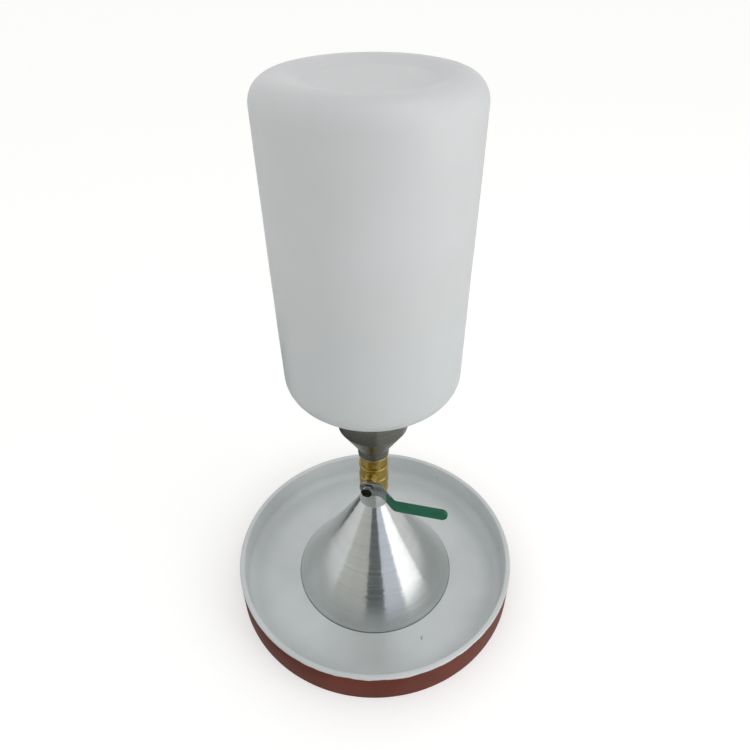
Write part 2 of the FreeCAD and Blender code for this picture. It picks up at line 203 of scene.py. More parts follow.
# %% Cards
card_top = 1.7
card_lift = 1 * mm
card_facet = 6
near_edge, far_edge = 0.165, 0.3


def card_paint(name, colour):
    """Plain glow, so that a card looks the same wherever it stands."""
    paint = bpy.data.materials.new(name)
    tree = new_nodes(paint)
    tone = node(tree, "Emission", {"Color": (*colour, 1), "Strength": 1.0})
    node(tree, "OutputMaterial", {"Surface": tone.outputs[0]})
    return paint


def set_up_card(name, points, faces, colour):
    """Card that only mirror reflections see."""
    mesh = bpy.data.meshes.new(name)
    mesh.from_pydata(points, [], faces)
    mesh.materials.append(card_paint(name, colour))
    made = bpy.data.objects.new(name, mesh)
    bpy.context.scene.collection.objects.link(made)
    made.visible_camera = False
    made.visible_diffuse = False
    made.visible_transmission = False
    made.visible_shadow = False


def bent_card(name, start, end, first_edge, second_edge, colour):
    """Card bent round the axis between two azimuths; each edge is a (distance, height) pair."""
    steps = max(2, round(abs(end - start) / card_facet))
    turns = [start + (end - start) * step / steps for step in range(steps + 1)]
    points = [around(turn, *edge) for edge in (first_edge, second_edge) for turn in turns]
    faces = [(place, place + 1, place + steps + 2, place + steps + 1) for place in range(steps)]
    set_up_card(name, points, faces, colour)


def upright_card(name, start, end, distance, colour):
    """Card that stands on the floor at a distance from the axis."""
    bent_card(name, start, end, (distance, 0.0), (distance, card_top), colour)


def floor_card(name, start, end, inner, outer, colour):
    """Flat card just over the floor, between two distances."""
    bent_card(name, start, end, (inner, card_lift), (outer, card_lift), colour)


upright_card("dark_card_front", -14, 13, 1.0, (0.09, 0.1, 0.1))
upright_card("blue_card_right", 13, 42, 1.05, (0.56, 0.6, 0.67))
upright_card("window_card", 42, 79, 1.15, (1.5, 1.5, 1.5))
upright_card("wall_card_right", 79, 150, 1.1, (0.6, 0.61, 0.6))
upright_card("wall_card_near_left", -42, -14, 1.1, (0.44, 0.44, 0.42))
upright_card("door_card_left", -64, -42, 1.1, (0.47, 0.47, 0.44))
upright_card("wall_card_left", -150, -64, 1.1, (0.68, 0.7, 0.69))
floor_card("dark_card_floor", -115, 12, near_edge, far_edge, (0.08, 0.085, 0.08))
floor_card("pale_card_floor", 12, 115, near_edge, far_edge, (0.5, 0.5, 0.48))
floor_card("dark_card_behind", 170, 245, near_edge, 2 * far_edge, (0.04, 0.045, 0.04))
skylight = around(58, 0.7, 2.2)
skylight_reach = 0.45
corners = [skylight + Vector((x * skylight_reach, y * skylight_reach, 0)) for x, y in square]
set_up_card("ceiling_card", corners, [(0, 1, 2, 3)], (3.0, 3.0, 3.1))
print("cards:", ", ".join(mesh.name for mesh in bpy.data.meshes if "card" in mesh.name))

# %% [markdown]
# ## A lathe for meshes
#
# Tray, cone, funnel and jar were all turned or blown round one axis, so one tool makes them all: an outline
# through a few corners, spun round the axis. A real edge is never perfectly sharp. A third number on a
# corner rounds it, because that small round is what catches the light and tells the eye how big the thing
# is. The Screw modifier could spin a curve as well, but a mesh made in code keeps its faces even and closed.

# %% Outline and spin
arc_facet = math.radians(9)


def rounded(corners, closed=True):
    """Points through (radius, height) corners; a third value rounds a corner with an arc."""
    points = []
    for place, corner in enumerate(corners):
        here = Vector(corner[:2])
        inside = closed or 0 < place < len(corners) - 1
        if len(corner) == 2 or not inside:
            points.append(here)
            continue
        back = (Vector(corners[place - 1][:2]) - here).normalized()
        onward = (Vector(corners[(place + 1) % len(corners)][:2]) - here).normalized()
        half = back.angle(onward) / 2
        centre = here + (back + onward).normalized() * corner[2] / math.sin(half)
        first = here + back * corner[2] / math.tan(half) - centre
        sweep = (math.pi - 2 * half) * (1 if back.cross(onward) < 0 else -1)
        steps = max(3, round(abs(sweep) / arc_facet))
        for step in range(steps + 1):
            turn = Matrix.Rotation(sweep * step / steps, 2)
            points.append(centre + turn @ first)
    return points


def link(name, mesh):
    """Object in the scene for a finished mesh."""
    made = bpy.data.objects.new(name, mesh)
    bpy.context.scene.collection.objects.link(made)
    return made


def shade(mesh, sharp=35):
    """Smooth shading, except over edges sharper than some degrees."""
    mesh.shade_smooth()
    mesh.set_sharp_from_angle(angle=math.radians(sharp))


def spun(name, outline, around_steps=256):
    """Mesh of a closed (radius, height) outline spun round the Z axis."""
    shape = bmesh.new()
    verts = [shape.verts.new((point.x, 0, point.y)) for point in outline]
    pairs = [(verts[place - 1], verts[place]) for place in range(len(verts))]
    edges = [shape.edges.new(pair) for pair in pairs if max(pair[0].co.x, pair[1].co.x) > 0]
    bmesh.ops.spin(shape, geom=verts + edges, cent=(0, 0, 0), axis=(0, 0, 1), angle=2 * math.pi,
                   steps=around_steps, use_merge=True)
    bmesh.ops.remove_doubles(shape, verts=shape.verts, dist=0.001 * mm)
    bmesh.ops.dissolve_degenerate(shape, edges=shape.edges, dist=0.0001 * mm)
    bmesh.ops.recalc_face_normals(shape, faces=shape.faces)
    mesh = bpy.data.meshes.new(name)
    shape.to_mesh(mesh)
    shape.free()
    shade(mesh)
    return mesh


def finish_piece(piece, body, slot, *nodes):
    """The piece moves with a body and stands for CAD nodes, which it hides; the slot is not used."""
    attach(piece, body)
    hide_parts(*nodes)
    low, high = (Vector(corner) for corner in (piece.bound_box[0], piece.bound_box[6]))
    size = ", ".join(f"{value / mm:.1f}" for value in high - low)
    print(f"{piece.name}: {len(piece.data.vertices)} points, {size} mm, rides on {body}")


print("lathe ready")

# %% [markdown]
# ## The base tray
#
# The tray is a sand casting, turned at the rim and where the cone sits, and painted red-brown outside. Its
# outline has all that matters for the shape: the flat rim, the slightly leaning wall, the wide round where
# the wall runs into the floor, and the shallow recess that the cone's foot stands in.

# %% Turn the tray
tray_low, tray_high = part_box("base_tray")
cone_low, cone_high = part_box("sand_cone")
tray_r = tray_high.x
tray_top = tray_high.z
rim_width = 5.4 * mm
wall_foot = 7.4 * mm
tray_floor = 4.8 * mm
tray_edge = 0.4 * mm
foot_round = 0.8 * mm
rim_round = 1.6 * mm
floor_round = 10 * mm
cone_foot_r = cone_high.x
cone_mouth_r = cone_foot_r - 3.85 * mm
recess_r = cone_foot_r + 0.5 * mm
ledge = cone_low.z

tray_outline = rounded([
    (cone_mouth_r, 0, tray_edge),
    (tray_r, 0, foot_round),
    (tray_r, tray_top, rim_round),
    (tray_r - rim_width, tray_top, rim_round),
    (tray_r - wall_foot, tray_floor, floor_round),
    (recess_r, tray_floor, 0.35 * mm),
    (recess_r, ledge, 0.3 * mm),
    (cone_mouth_r, ledge, tray_edge),
])
tray = link("tray_casting", spun("tray_casting", tray_outline, 320))
finish_piece(tray, "tray", "cast_tray", "base_tray")

# %% [markdown]
# ## The sand cone
#
# The cone is turned from one piece: a thin foot, the slope, a collar and a threaded spigot that screws into
# the valve. It is open all the way, and its wall is thin enough for a hand to lift it. The slope isn't quite
# straight. It dips by about two millimetres in the middle, which hardly shows in its outline but decides how
# far down the reflected streaks reach. So it is drawn as many short steps along a shallow curve, and the
# collar above it narrows a little towards the valve.

# %% Turn the sand cone
valve_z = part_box("valve_body")[0].z
collar_r = 14 * mm
collar_height = 17 * mm
collar_z = valve_z - collar_height
foot_height = 3 * mm
foot_top = ledge + foot_height
cone_wall = 3.5 * mm
orifice_r = 6.5 * mm
thread_r = 10.2 * mm
thread_end_round = 0.6 * mm
turned_edge = 0.3 * mm
slope_sag = 2.2 * mm
collar_taper = 0.9 * mm
slope = Vector((cone_foot_r - collar_r, collar_z - foot_top))
inner_foot_r = cone_foot_r - cone_wall * slope.y / slope.length
inner_foot_z = foot_top - cone_wall * slope.x / slope.length


def inner_height(radius):
    """Height at which the cone's inner face has a radius."""
    return inner_foot_z + (inner_foot_r - radius) * slope.y / slope.x


def hollow_line(start, end, sag, parts=24):
    """Corners along a line that dips to its left side by a sag in the middle, without its two ends."""
    start, end = Vector(start), Vector(end)
    aside = Vector((start.y - end.y, end.x - start.x)).normalized()
    steps = [part / parts for part in range(1, parts)]
    return [tuple(start.lerp(end, step) + aside * sag * 4 * step * (1 - step)) for step in steps]


cone_shoulder = (collar_r + collar_taper, collar_z)
cone_outline = rounded([
    (cone_mouth_r, ledge, turned_edge),
    (cone_foot_r, ledge, turned_edge),
    (cone_foot_r, foot_top, 0.4 * mm),
    *hollow_line((cone_foot_r, foot_top), cone_shoulder, slope_sag),
    (*cone_shoulder, 1.0 * mm),
    (collar_r - collar_taper, valve_z, 0.4 * mm),
    (thread_r, valve_z),
    (thread_r, cone_high.z, thread_end_round),
    (orifice_r, cone_high.z),
    (orifice_r, inner_height(orifice_r), 1 * mm),
    (cone_mouth_r, inner_height(cone_mouth_r)),
])
sand_cone = link("turned_sand_cone", spun("turned_sand_cone", cone_outline, 288))
finish_piece(sand_cone, "cone_assembly", "turned_aluminium", "sand_cone")

# %% [markdown]
# ## The upper funnel
#
# The jar's neck screws into a second turned piece. It sits on the brass with a short neck that is chamfered
# below, widens as a cone, and ends in a skirt that hides the jar's thread. A ledge inside holds the rubber
# gasket. The same lathe makes it: only the corners differ.

# %% Turn the upper funnel
funnel_low, funnel_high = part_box("upper_funnel")
valve_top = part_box("valve_end_cap")[1].z
skirt_r = funnel_high.x
skirt_bore_r = skirt_r - 5.1 * mm
gasket_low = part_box("jar_gasket")[0]
funnel_neck_r = 15.4 * mm
neck_chamfer = 0.8 * mm
funnel_cone_z = valve_top + 8.5 * mm
skirt_z = gasket_low.z - 1.5 * mm
throat_z = gasket_low.z - 26 * mm
ledge_inner_r = 24 * mm

funnel_outline = rounded([
    (orifice_r, funnel_low.z),
    (thread_r, funnel_low.z, thread_end_round),
    (thread_r, valve_top),
    (funnel_neck_r - neck_chamfer, valve_top, 0.15 * mm),
    (funnel_neck_r, valve_top + neck_chamfer, 0.15 * mm),
    (funnel_neck_r, funnel_cone_z, 1.2 * mm),
    (skirt_r, skirt_z, 0.8 * mm),
    (skirt_r, funnel_high.z, 0.9 * mm),
    (skirt_bore_r, funnel_high.z, turned_edge),
    (skirt_bore_r, gasket_low.z),
    (ledge_inner_r, gasket_low.z, 0.4 * mm),
    (orifice_r, throat_z, 1 * mm),
])
funnel = link("turned_upper_funnel", spun("turned_upper_funnel", funnel_outline, 192))
finish_piece(funnel, "cone_assembly", "turned_aluminium", "upper_funnel")

# %% [markdown]
# ## The jar
#
# The jar is blow-moulded: a hot tube of polyethylene is caught between two mould halves and blown out
# against them. So its wall is thin, its edges are very round, its base is pushed up into a shallow dish, and
# the halves leave a fine seam down two sides, which belongs to the finish further on. It stands upside down
# here, so the base is what one sees from above. The outline is the outside only, and the inside is the same
# line set in by the wall's thickness, which is how the real jar gets its shape too.

# %% Blow the jar
jar_low, jar_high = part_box("jar")
jar_wall = 1.8 * mm
neck_r = 26.5 * mm
neck_top = jar_low.z + 28.4 * mm
shoulder_slope = math.tan(math.radians(24))
shoulder_round = 21 * mm
jar_high_r = 81.2 * mm
neck_round = 4 * mm
base_round = 17.7 * mm
dish_round = 12 * mm
dish_depth = 4 * mm
shoulder_corner_r = 78.0 * mm
shoulder_corner_z = neck_top + (shoulder_corner_r - neck_r) * shoulder_slope
rim_r = jar_high_r - base_round - 5 * mm
dish_r = rim_r - 14 * mm

jar_outside = rounded([
    (neck_r, jar_low.z),
    (neck_r, neck_top, neck_round),
    (shoulder_corner_r, shoulder_corner_z, shoulder_round),
    (jar_high_r, jar_high.z, base_round),
    (rim_r, jar_high.z, dish_round),
    (dish_r, jar_high.z - dish_depth, dish_round),
    (0, jar_high.z - dish_depth),
], closed=False)


def set_in(points, depth):
    """The same open line, moved to its left by a depth."""
    moved = []
    for place, point in enumerate(points):
        before = points[max(place - 1, 0)]
        after = points[min(place + 1, len(points) - 1)]
        along = (after - before).normalized()
        moved.append(Vector((max(point.x - along.y * depth, 0), point.y + along.x * depth)))
    return moved


def divided(points, longest):
    """The same line with points added where two stand further apart than asked."""
    filled = [points[0]]
    for start, end in zip(points, points[1:]):
        parts = max(1, math.ceil((end - start).length / longest))
        filled += [start.lerp(end, part / parts) for part in range(1, parts + 1)]
    return filled


jar_outside = divided(jar_outside, 6 * mm)
jar_section = jar_outside + set_in(jar_outside, jar_wall)[::-1]
print("jar outline points:", len(jar_section))

# %% [markdown]
# A perfect surface of revolution gives a moulded jar away as a drawing. The real wall wanders by a few
# tenths of a millimetre, and long soft highlights show it. Each point is therefore pushed out or in by a
# smooth, fixed noise. Both faces move together, so the wall keeps its thickness. The neck's thread is a
# narrow strip that winds round the wall and is joined to the same mesh.

# %% Waves and thread of the jar
slow_wave_mm = 0.45
quick_wave_mm = 0.12


def wandered(point):
    """How far the moulded wall is off its true radius at a point; the neck is true."""
    slow = noise.noise(Vector((point.x * 9, point.y * 9, point.z * 6)))
    quick = noise.noise(Vector((point.x * 30, point.y * 30, point.z * 22)) + Vector((7, 3, 1)))
    above_neck = min(max((point.z - neck_top) / (30 * mm), 0), 1)
    return (slow * slow_wave_mm + quick * quick_wave_mm) * mm * above_neck


def out_from_axis(point):
    """Level direction of length 1 from the axis to a point."""
    flat = Vector((point.x, point.y, 0))
    return flat.normalized() if flat.length > 1e-6 else Vector((0, 0, 0))


def strip(shape, rows):
    """Faces between rows of points, added to a bmesh."""
    made = [[shape.verts.new(point) for point in row] for row in rows]
    for row, following in zip(made, made[1:]):
        for place in range(len(row) - 1):
            shape.faces.new((row[place], row[place + 1], following[place + 1], following[place]))


def thread_rows(start_z, pitch, turns, root, crest):
    """Rounded ridge that climbs round the neck and runs out at both ends."""
    rows = []
    steps_a_turn = 72
    run_out = 8
    foot, flat = 1.5 * mm, 0.7 * mm
    steps = round(turns * steps_a_turn)
    for step in range(steps + 1):
        angle = 2 * math.pi * step / steps_a_turn
        height = start_z + pitch * step / steps_a_turn
        top = root + (crest - root) * min(1, step / run_out, (steps - step) / run_out)
        ridge = ((root, -foot), (top, -flat), (top, flat), (root, foot))
        rows.append([Vector((math.cos(angle) * reach, math.sin(angle) * reach, height + rise))
                     for reach, rise in ridge])
    return rows


jar_shape = bmesh.new()
jar_shape.from_mesh(spun("jar_wall", jar_section, 256))
thread_start = jar_low.z + 6 * mm
thread_pitch = 5 * mm
thread_turns = 2.4
thread_root = neck_r - 0.3 * mm
thread_crest = neck_r + 1.5 * mm
strip(jar_shape, thread_rows(thread_start, thread_pitch, thread_turns, thread_root, thread_crest))
for vert in jar_shape.verts:
    vert.co += out_from_axis(vert.co) * wandered(vert.co)
jar_mesh = bpy.data.meshes.new("blown_jar")
jar_shape.to_mesh(jar_mesh)
jar_shape.free()
shade(jar_mesh, 50)
jar = link("blown_jar", jar_mesh)
finish_piece(jar, "jar", "jar_plastic", "jar")

# %% [markdown]
# ## The forged valve body
#
# The valve and the lever already have their true shape in the engineering model. What the solids lack is the
# wear of their making: every edge is still sharp. The valve's body is a forging, and its edges flow. A voxel
# remesh lays an even skin over the solid, and a few passes of smoothing wear the edges down. Bevels could do
# it too, but where a boss meets a barrel they break, and a remesh doesn't. The result is a piece of its own,
# which then stands for the solid.

# %% Remesh the valve body
def whole_faces(node_name):
    """A CAD solid as a bmesh whose triangles are welded back into whole faces."""
    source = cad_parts[node_name].data
    shape = bmesh.new()
    points = [shape.verts.new(vert.co) for vert in source.vertices]
    for face in source.polygons:
        shape.faces.new([points[index] for index in face.vertices])
    bmesh.ops.remove_doubles(shape, verts=shape.verts, dist=0.002 * mm)
    bmesh.ops.dissolve_limit(shape, angle_limit=math.radians(0.4), verts=shape.verts, edges=shape.edges)
    return shape


def soft_cast(node_name, name, voxel, passes, body, slot):
    """Copy of a CAD solid with every edge rounded as a casting's or a dipped skin's."""
    mesh = bpy.data.meshes.new(name)
    shape = whole_faces(node_name)
    bmesh.ops.triangulate(shape, faces=shape.faces)
    shape.to_mesh(mesh)
    shape.free()
    piece = link(name, mesh)
    remesh = piece.modifiers.new("even_skin", "REMESH")
    remesh.mode = "VOXEL"
    remesh.voxel_size = voxel
    smooth = piece.modifiers.new("worn_edges", "SMOOTH")
    smooth.factor = 0.5
    smooth.iterations = passes
    evaluated = piece.evaluated_get(bpy.context.evaluated_depsgraph_get())
    skinned = bpy.data.meshes.new_from_object(evaluated)
    piece.modifiers.clear()
    piece.data = skinned
    skinned.shade_smooth()
    finish_piece(piece, body, slot, node_name)
    return piece


valve_casting = soft_cast("valve_body", "forged_valve_body", 0.3 * mm, 3, "cone_assembly", "valve_brass")

# %% [markdown]
# ## Machined and pressed pieces
#
# End cap, gland, stem, lever and fasteners have flat faces that should stay flat, so only their edges are
# broken. With the solid's triangles welded back into whole faces, as above, it is enough to bevel what is
# sharp. A size of one to three tenths of a millimetre is what a file or a tumbler leaves.

# %% Bevel the small pieces
def edges_broken(node_name, name, size, body, slot, sharp=28):
    """Copy of a CAD solid whose edges over some degrees are bevelled by a size."""
    shape = whole_faces(node_name)
    keen = [edge for edge in shape.edges
            if len(edge.link_faces) == 2 and edge.calc_face_angle() > math.radians(sharp)]
    bmesh.ops.bevel(shape, geom=keen, offset=size, offset_type="OFFSET", segments=2, profile=0.5,
                    affect="EDGES", clamp_overlap=True)
    mesh = bpy.data.meshes.new(name)
    shape.to_mesh(mesh)
    shape.free()
    shade(mesh, 40)
    piece = link(name, mesh)
    finish_piece(piece, body, slot, node_name)
    return piece


valve_cap = edges_broken("valve_end_cap", "machined_end_cap", 0.25 * mm, "cone_assembly", "valve_brass")
gland = edges_broken("packing_gland", "machined_gland", 0.2 * mm, "cone_assembly", "valve_brass")
stem = edges_broken("valve_stem", "turned_stem", 0.12 * mm, "valve_rotor", "stem_brass")
lever = edges_broken("handle_lever", "pressed_lever", 0.3 * mm, "valve_rotor", "plated_steel")
nut = edges_broken("handle_nut", "plated_nut", 0.15 * mm, "valve_rotor", "plated_fastener")
washer = edges_broken("lock_washer", "split_washer", 0.15 * mm, "valve_rotor", "plated_fastener")

# %% [markdown]
# The sleeve is a skin of vinyl, left where the lever was dipped. It hasn't a sharp edge anywhere, so it gets
# the remesh again, with one more pass of smoothing.

# %% Dip the sleeve
sleeve = soft_cast("handle_sleeve", "dipped_sleeve", 0.3 * mm, 4, "valve_rotor", "green_vinyl")

# %% [markdown]
# ## Finishes
#
# A finish is more than a colour. Each material below starts from a Principled shader whose plain values sit
# on its own sockets, and only what really varies over the surface is linked in: grain, rings, stains. All
# patterns are worked out from the object's own coordinates, which turn and travel with the piece.

# %% Shader helpers
def principled(name, **plain):
    """Material with a Principled shader; plain values go on its own sockets, underscores for spaces."""
    material = bpy.data.materials.new(name)
    tree = new_nodes(material)
    shader = node(tree, "BsdfPrincipled")
    for key, value in plain.items():
        shader.inputs[key.replace("_", " ")].default_value = value
    node(tree, "OutputMaterial", {"Surface": shader.outputs[0]})
    return material, tree, shader


def place_in_piece(tree):
    """Coordinates that turn and travel with the piece."""
    return node(tree, "TexCoord").outputs["Object"]


def grain(tree, scale, detail=2.0, roughness=0.5, stretch=(1, 1, 1)):
    """Noise from 0 to 1 whose lumps are 1 / scale metres wide."""
    place = node(tree, "Mapping", {"Vector": place_in_piece(tree), "Scale": stretch})
    lumps = node(tree, "TexNoise", {"Vector": place.outputs[0], "Scale": scale, "Detail": detail,
                                    "Roughness": roughness})
    return lumps.outputs["Fac"]


def maths(tree, operation, first, second=0.0):
    """What one Math node makes of two values."""
    return node(tree, "Math", {0: first, 1: second}, operation=operation).outputs[0]


def stretched(tree, value, low, high, to_low, to_high):
    """Value from low to high, mapped to another range and held there."""
    made = node(tree, "MapRange", {"Value": value, "From Min": low, "From Max": high,
                                   "To Min": to_low, "To Max": to_high})
    return made.outputs[0]


def varied(tree, noise_value, low, high):
    """Noise mapped to a range of its own; nearly all of a noise lies between 0.3 and 0.7."""
    return stretched(tree, noise_value, 0.3, 0.7, low, high)


def tones(tree, value, *stops):
    """Colour ramp through (place, colour) stops."""
    ramp = node(tree, "ValToRGB", {0: value})
    elements = ramp.color_ramp.elements
    while len(elements) < len(stops):
        elements.new(0.5)
    for element, (place, colour) in zip(elements, stops):
        element.position = place
        element.color = (*colour, 1)
    return ramp.outputs[0]


def mixed(tree, mask, first, second):
    """Colour that goes from first to second as the mask goes from 0 to 1."""
    return node(tree, "Mix", {0: mask, 6: first, 7: second}, data_type="RGBA").outputs[2]


def relief(tree, height, depth, strength=1.0):
    """Bump from a height of 0 to 1 that stands for a depth in metres."""
    return node(tree, "Bump", {"Height": height, "Distance": depth, "Strength": strength}).outputs[0]


def radius_and_height(tree):
    """Distance from the axis and height of each point, as two sockets."""
    parts = node(tree, "SeparateXYZ", {0: place_in_piece(tree)})
    x, y, z = parts.outputs
    squares = maths(tree, "ADD", maths(tree, "MULTIPLY", x, x), maths(tree, "MULTIPLY", y, y))
    return maths(tree, "SQRT", squares), z


def rings(tree, pitch, detail=1.0):
    """Uneven rings round the axis, as a lathe tool leaves them, a pitch apart on average."""
    radius, height = radius_and_height(tree)
    travel = maths(tree, "ADD", radius, height)
    uneven = node(tree, "TexNoise", {"W": travel, "Scale": 1 / pitch, "Detail": detail, "Roughness": 0.6},
                  noise_dimensions="1D")
    return uneven.outputs["Fac"]


def crescent(tree, centre, reach, thickness):
    """Mask from 0 to 1 of a small curved nick: points a reach from a centre, on one side of it."""
    wavy = maths(tree, "MULTIPLY", maths(tree, "SUBTRACT", grain(tree, 500, 1), 0.5), 1.2 * thickness)
    away = node(tree, "VectorMath", {0: place_in_piece(tree), 1: centre}, operation="SUBTRACT").outputs[0]
    length = node(tree, "VectorMath", {0: away}, operation="LENGTH").outputs["Value"]
    off_arc = maths(tree, "ABSOLUTE", maths(tree, "ADD", maths(tree, "SUBTRACT", length, reach), wavy))
    side = node(tree, "SeparateXYZ", {0: away}).outputs["X"]
    return maths(tree, "MULTIPLY", stretched(tree, off_arc, thickness / 4, thickness, 1, 0),
                 stretched(tree, side, -reach / 2, 0.0, 1, 0))


def dress(piece, material):
    """Give a piece one finish and no other."""
    piece.data.materials.clear()
    piece.data.materials.append(material)
    print(f"{piece.name} wears {material.name}, {len(material.node_tree.nodes)} nodes")


print("shader helpers ready")

# %% [markdown]
# ### Cast aluminium, painted outside
#
# The tray's skin is dull and slightly clouded, with the fine grain of moulding sand. The paint is brushed on
# the outer wall only and stops in an uneven line below the rim, where the bare metal shows as a pale edge.
# A few nicks from use are short curved marks. They are too small for the mesh, so each is an arc worked out
# in the material, a little darker than the metal and pressed into the bump.

# %% Finish of the tray
tray_finish, tree, shader = principled("cast_tray_finish", IOR=1.5, Specular_IOR_Level=0.2,
                                       Anisotropic=0.8, Anisotropic_Rotation=0.25)
radius, height = radius_and_height(tree)
line_low = tray_top - 2.4 * mm
line_high = tray_top - 0.7 * mm
line_blur = 0.35 * mm
rim_bend = 1.2 * mm
brush_line = varied(tree, grain(tree, 60, 2), line_low, line_high)
below_line = stretched(tree, maths(tree, "SUBTRACT", brush_line, height), 0, line_blur, 0, 1)
outside = maths(tree, "GREATER_THAN", radius, tray_r - rim_bend)
painted = maths(tree, "MULTIPLY", below_line, outside)
wall_part = stretched(tree, radius, tray_r - 34 * mm, tray_r - 14 * mm, 0, 1)
clouds = tones(tree, grain(tree, 14, 3, 0.6), (0.3, (0.53, 0.56, 0.56)), (0.7, (0.59, 0.615, 0.615)))
speckle = grain(tree, 900, 3, 0.6)
paint = tones(tree, grain(tree, 22, 3), (0.3, (0.115, 0.025, 0.014)), (0.75, (0.16, 0.038, 0.022)))
marks = [
    (around(27.9, 105.5 * mm, tray_floor), 1.6 * mm, 0.7 * mm),
    (around(144.9, 146 * mm, 21 * mm), 1.4 * mm, 0.5 * mm),
    (around(93.2, 147.2 * mm, 19 * mm), 1.3 * mm, 0.5 * mm),
    (around(95.1, 147.2 * mm, 23 * mm), 1.1 * mm, 0.4 * mm),
]
nicks = 0.0
for centre, reach, thickness in marks:
    nicks = maths(tree, "MAXIMUM", nicks, crescent(tree, centre, reach, thickness))
bare = mixed(tree, nicks, clouds, (0.2, 0.21, 0.21, 1))
tree.links.new(mixed(tree, painted, bare, paint), shader.inputs["Base Color"])
bare_metal = stretched(tree, wall_part, 0, 1, 0.42, 0.2)
metal = maths(tree, "MULTIPLY", bare_metal, maths(tree, "SUBTRACT", 1.0, painted))
tree.links.new(metal, shader.inputs["Metallic"])
floor_rough = varied(tree, grain(tree, 40, 4, 0.6), 0.3, 0.4)
bare_rough = maths(tree, "ADD", floor_rough, maths(tree, "MULTIPLY", wall_part, 0.2))
rough = node(tree, "Mix", {0: painted, 2: bare_rough, 3: 0.38}, data_type="FLOAT").outputs[0]
tree.links.new(rough, shader.inputs["Roughness"])
tree.links.new(node(tree, "Tangent", direction_type="RADIAL", axis="Z").outputs[0], shader.inputs["Tangent"])
sand_grain = relief(tree, speckle, 0.04 * mm, 0.6)
nick_depth = 0.3 * mm
dents = node(tree, "Bump", {"Height": nicks, "Distance": nick_depth, "Strength": 1.0, "Normal": sand_grain},
             invert=True)
tree.links.new(dents.outputs[0], shader.inputs["Normal"])
dress(tray, tray_finish)

# %% [markdown]
# ### Turned aluminium
#
# A lathe leaves thousands of fine grooves round the axis. Light that falls on them spreads along the cone,
# from foot to collar, and hardly at all round it. That is what anisotropy does: the highlight is drawn out
# across the grooves. The grooves themselves are uneven rings in colour, roughness and bump, each so weak
# that no single ring stands out. The tool also chatters, and each chatter mark leans the surface by a hair
# to one side. So the normal is leant round the axis by a noise that is drawn out along the grooves, and that
# frays the edges of the reflected streaks.

# %% Finish of cone and funnel
groove_depth = 0.00012 * mm


def turned_finish(name, colour, low_rough, high_rough, stretch, wobble):
    """Turned metal: stretch is its anisotropy, wobble how far chatter leans the normal."""
    material, tree, shader = principled(name, Metallic=1.0, Anisotropic=stretch, Anisotropic_Rotation=0.25)
    fine = rings(tree, 0.9 * mm, 2)
    coarse = rings(tree, 4.5 * mm, 1)
    chatter = grain(tree, 1, 2, 0.6, stretch=(130, 130, 800))
    tangent = node(tree, "Tangent", direction_type="RADIAL", axis="Z")
    tree.links.new(tangent.outputs[0], shader.inputs["Tangent"])
    dull, pale = (tuple(value * shift for value in colour) for shift in (0.97, 1.03))
    both = maths(tree, "MULTIPLY", maths(tree, "ADD", fine, coarse), 0.5)
    tree.links.new(tones(tree, both, (0.35, dull), (0.65, pale)), shader.inputs["Base Color"])
    tree.links.new(varied(tree, fine, low_rough, high_rough), shader.inputs["Roughness"])
    grooves = relief(tree, fine, groove_depth)
    lean = maths(tree, "MULTIPLY", maths(tree, "SUBTRACT", chatter, 0.5), wobble)
    aside = node(tree, "VectorMath", {0: tangent.outputs[0], "Scale": lean}, operation="SCALE").outputs[0]
    leaning = node(tree, "VectorMath", {0: grooves, 1: aside}, operation="ADD").outputs[0]
    facing = node(tree, "VectorMath", {0: leaning}, operation="NORMALIZE").outputs[0]
    tree.links.new(facing, shader.inputs["Normal"])
    return material


cone_finish = turned_finish("turned_cone_finish", (0.76, 0.775, 0.77), 0.17, 0.23, 0.8, 0.13)
# Painted shade: the funnel's colour is set far darker than aluminium, for the jar's shadow and the dark it
# mirrors.
funnel_finish = turned_finish("turned_funnel_painted_shade_finish", (0.21, 0.21, 0.188), 0.24, 0.3, 0.5, 0.06)
dress(sand_cone, cone_finish)
dress(funnel, funnel_finish)

# %% [markdown]
# ### Brass
#
# The valve is a hot forging, blasted with grit and machined only where it seals. It is a dull gold with a
# fine tooth, faintly stained, and brighter on its edges, which the Pointiness output finds. The stem is
# painted nearly black, as painted shade for its end, which lies deep in the nut and in shadow.

# %% Finish of the valve
def brass_finish(name, colour, roughness, tooth):
    """Brass whose blasted skin has a tooth of a given depth."""
    material, tree, shader = principled(name, Metallic=1.0)
    worn = node(tree, "NewGeometry").outputs["Pointiness"]
    edge = stretched(tree, worn, 0.49, 0.56, 0.0, 1.0)
    stain = grain(tree, 70, 2, 0.5)
    dull = tones(tree, stain, (0.3, tuple(value * 0.86 for value in colour)), (0.7, colour))
    bright = tuple(min(value * 1.1, 1) for value in colour)
    tree.links.new(mixed(tree, edge, dull, (*bright, 1)), shader.inputs["Base Color"])
    rough = varied(tree, grain(tree, 300, 2), roughness - 0.06, roughness + 0.06)
    tree.links.new(rough, shader.inputs["Roughness"])
    tree.links.new(relief(tree, grain(tree, 2600, 2, 0.6), tooth, 0.9), shader.inputs["Normal"])
    return material


forged_brass = brass_finish("forged_brass_finish", (0.5, 0.37, 0.1), 0.34, 0.004 * mm)
machined_brass = brass_finish("machined_brass_finish", (0.5, 0.37, 0.11), 0.32, 0.002 * mm)
dress(valve_casting, forged_brass)
for piece in (valve_cap, gland):
    dress(piece, machined_brass)
# Painted shade: the stem's brass is coloured nearly black for the shadow at its end inside the nut.
dress(stem, brass_finish("painted_shade_stem_finish", (0.03, 0.027, 0.02), 0.45, 0.01 * mm))
